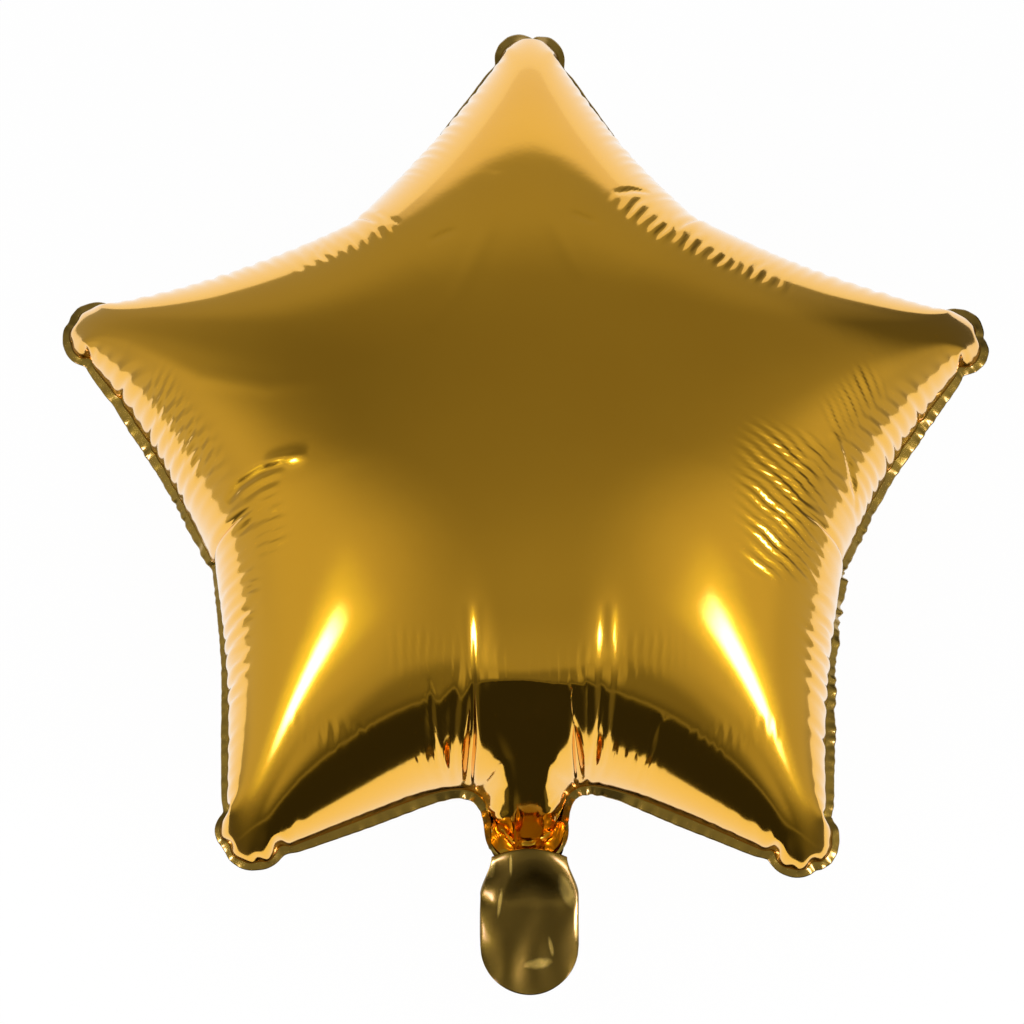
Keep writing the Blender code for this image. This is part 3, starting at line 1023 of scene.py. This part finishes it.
# The studio: a white floor, two soft boxes, and the room that the film mirrors
studio = {
    "floorHalf": 4.0,
    "worldLight": 0.8,
    "backdrop": 1.0,  # brightness of the world behind the floor
    "floorColour": (0.9, 0.9, 0.9),
    "floorGlow": 0.96,  # share of the floor's white that is its own
    "boxes": [(-53, -14), (52, -15)],  # degrees sideways and upwards
    "boxSize": (0.34, 0.22),
    "boxStrength": 11.0,
    "boxDistance": 0.95,
    "domeRadius": 2.5,
    "domeRows": 180,
    "domeColumns": 360,
    "skirtFrom": 0.42,  # where the studio's own floor begins, from the star
    "skirtBehind": 0.55,  # how much further that is behind the star
    "behind": (0.6, 0.3),  # sine of the bearing, as in grow, that counts as behind
    "horizon": -2.4,  # degrees at which the dome's wall meets that floor
    "skirtRise": 3 * mm,
    "warmth": (1.0, 0.98, 0.72),
}

# The room's layers, on a map of degrees sideways and upwards from the camera's direction:
# place, half size, turn in degrees, share of the size over which the edge fades, and
# brightness of red, green and blue, or one brightness in the room's warm tone
roomLayers = [
    ((0, 0), (400, 400), 0, 0.1, 0.35),
    ((25, 50), (60, 34), 20, 0.8, 0.23),
    ((-40, 42), (30, 22), -30, 0.9, 0.18),
    ((56, -11), (34, 27), 0, 0.45, 0.6),
    ((-58, -11), (36, 26), 0, 0.45, 0.58),
    ((92, -14), (18, 12), 0, 0.4, 0.5),
    ((-92, -14), (18, 12), 0, 0.4, 0.55),
    ((50, -15), (17, 10), -35, 0.6, (1.15, 1.2, 0.5)),
    ((-50, -16), (17, 10), 42, 0.6, (1.1, 1.15, 0.45)),
    ((49, -16), (11.5, 4.2), -43, 0.5, (13, 12, 24)),
    ((-49, -17.5), (10.5, 3.6), 50, 0.5, (13, 12, 24)),
    ((88, 50), (17, 42), 30, 0.3, 0.11),
    ((-12, 82), (62, 12), 0, 0.8, 0.37),
    ((0, -72), (56, 28), 0, 0.45, 0.028),
    ((2, -47), (18, 8), 0, 0.8, 0.19),
    ((-27, -43), (9, 9), 0, 0.7, 0.42),
    ((26, -43), (9, 9), 0, 0.7, 0.4),
    ((-66, -66), (30, 20), -38, 0.6, 0.09),
    ((66, -66), (30, 20), 38, 0.6, 0.12),
    ((0, -58), (50, 0.9), 0, 0.6, 0.26),
    ((12, 131), (76, 36.5), 0, 0.06, (0.88, 0.85, 0.82)),
    ((152, -25), (30, 50), 0, 0.1, (0.8, 0.76, 0.7)),
    ((-150, -50), (34, 50), 0, 0.15, (0.5, 0.48, 0.44)),
    ((97, -116), (47, 50), -50, 0.08, (0.76, 0.7, 0.62)),
    ((-99, -118), (47, 50), 50, 0.08, (0.6, 0.55, 0.48)),
    ((0, -137), (60, 34.5), 0, 0.07, (0.68, 0.62, 0.52)),
    ((0, 170), (170, 40), 0, 0.2, (0.84, 0.8, 0.76)),
]


# Brightness of the room in these directions: each layer covers those before it inside
# its rounded rectangle and fades over its edge
def roomLight(ways):
    toward, right, up = cameraAxes()
    away = np.degrees(np.arccos(np.clip(ways @ toward, -1, 1)))
    turn = np.arctan2(ways @ up, ways @ right)
    side, rise = away * np.cos(turn), away * np.sin(turn)
    light = np.zeros(ways.shape)
    for place, size, slant, edge, tone in roomLayers:
        cos, sin = polar(1, slant)
        x, y = side - place[0], rise - place[1]
        across, along = (x * cos + y * sin) / size[0], (y * cos - x * sin) / size[1]
        out = (across ** 4 + along ** 4) ** 0.25
        share = soften(grow(out, 1 + edge, -2 * edge))[..., None]
        if not isinstance(tone, tuple):
            tone = np.multiply(tone, studio["warmth"])
        light = light * (1 - share) + np.array(tone) * share
    return light


# A material whose tree holds nothing yet
def bareMaterial(name):
    material = bpy.data.materials.new(name)
    material.use_nodes = True
    material.node_tree.nodes.clear()
    return material


# The white floor: for the camera and for what mirrors it, most of its white is its own
def makeFloor():
    corners = studio["floorHalf"] * np.array([[-1, -1, 0], [1, -1, 0], [1, 1, 0], [-1, 1, 0]])
    floor = makeMesh("floor", corners, np.arange(4)[None])
    material = bareMaterial("whiteFloor")
    tree = material.node_tree
    rays = addNode(tree, "LightPath")
    seen = rays["Is Camera Ray"]
    for kind in ("Is Glossy Ray", "Is Transmission Ray"):
        seen = addNode(tree, "Math", {0: seen, 1: rays[kind]}, operation="MAXIMUM")[0]
    share = addNode(tree, "Math", {0: seen, 1: studio["floorGlow"]}, operation="MULTIPLY")[0]
    diffuse = addNode(tree, "BsdfDiffuse", {"Color": (*studio["floorColour"], 1)})[0]
    glow = addNode(tree, "Emission", {"Color": (1, 1, 1, 1), "Strength": 1})[0]
    mix = addNode(tree, "MixShader", {0: share, 1: diffuse, 2: glow})[0]
    addNode(tree, "OutputMaterial", {"Surface": mix})
    floor.data.materials.append(material)


# Points at these bearings, this far out and this high
def around(bearing, reach, height):
    places = np.broadcast_arrays(reach * np.cos(bearing), reach * np.sin(bearing), height)
    return np.stack(places, -1)


# The dome over the star, and the studio's floor round the white one
def makeRoom():
    rows, columns = studio["domeRows"], studio["domeColumns"]
    bearing = np.linspace(0, 2 * np.pi, columns + 1)
    height = np.radians(np.linspace(studio["horizon"], 90, rows + 1))[:, None]
    middle = np.array([0, 0, sealHeight])
    radius = studio["domeRadius"]
    dome = around(bearing, np.cos(height), np.sin(height))
    behind = grow(np.sin(bearing), *studio["behind"])
    nearest = studio["skirtFrom"] + studio["skirtBehind"] * behind
    reach = nearest * (radius / nearest) ** np.linspace(0, 1, rows + 1)[:, None]
    skirt = around(bearing, reach, studio["skirtRise"])
    below = skirt - middle
    below /= np.linalg.norm(below, axis=-1, keepdims=True)
    places = np.concatenate([dome * radius + middle, skirt]).reshape(-1, 3)
    light = roomLight(np.concatenate([dome, below])).reshape(-1, 3)
    index = numbers(rows + 1, columns + 1)
    quads = gridQuads(np.stack([index, index + index.size]))
    room = makeMesh("room", places, quads)
    glow = room.data.color_attributes.new("glow", "FLOAT_COLOR", "POINT")
    light = np.column_stack([light, np.ones(len(light))])
    glow.data.foreach_set("color", light.astype(single).ravel())
    material = bareMaterial("roomLight")
    tree = material.node_tree
    painted = addNode(tree, "Attribute", attribute_name="glow")["Color"]
    addNode(tree, "OutputMaterial", {"Surface": addNode(tree, "Emission", {"Color": painted})[0]})
    material.cycles.emission_sampling = "NONE"
    room.data.materials.append(material)
    room.visible_camera = room.visible_diffuse = room.visible_shadow = False


# The soft boxes light the star, unseen in its film
def makeBoxes():
    toward, right, up = cameraAxes()
    width, height = studio["boxSize"]
    for number, (side, rise) in enumerate(studio["boxes"]):
        away = math.radians(math.hypot(side, rise))
        turn = math.atan2(rise, side)
        aside = right * math.cos(turn) + up * math.sin(turn)
        way = toward * math.cos(away) + math.sin(away) * aside
        data = bpy.data.lights.new(f"softBox{number}", "AREA")
        data.shape = "RECTANGLE"
        data.size = width
        data.size_y = height
        data.energy = studio["boxStrength"] * math.pi * width * height
        lamp = addObject(data.name, data)
        lamp.visible_glossy = False
        place = Vector(way * studio["boxDistance"]) + Vector((0, 0, sealHeight))
        putAt(lamp, place, way)


# The world: plain light for the balloon, and white where the camera sees it
def makeWorld():
    world = bpy.data.worlds.new("studio")
    bpy.context.scene.world = world
    world.use_nodes = True
    tree = world.node_tree
    plain, white = studio["worldLight"], studio["backdrop"]
    inputs = {0: addNode(tree, "LightPath")["Is Camera Ray"], 1: white - plain, 2: plain}
    strength = addNode(tree, "Math", inputs, operation="MULTIPLY_ADD")[0]
    setInputs(tree, tree.nodes["Background"], {"Color": (1, 1, 1, 1), "Strength": strength})


makeFloor()
makeRoom()
makeBoxes()
makeWorld()
print("studio made")
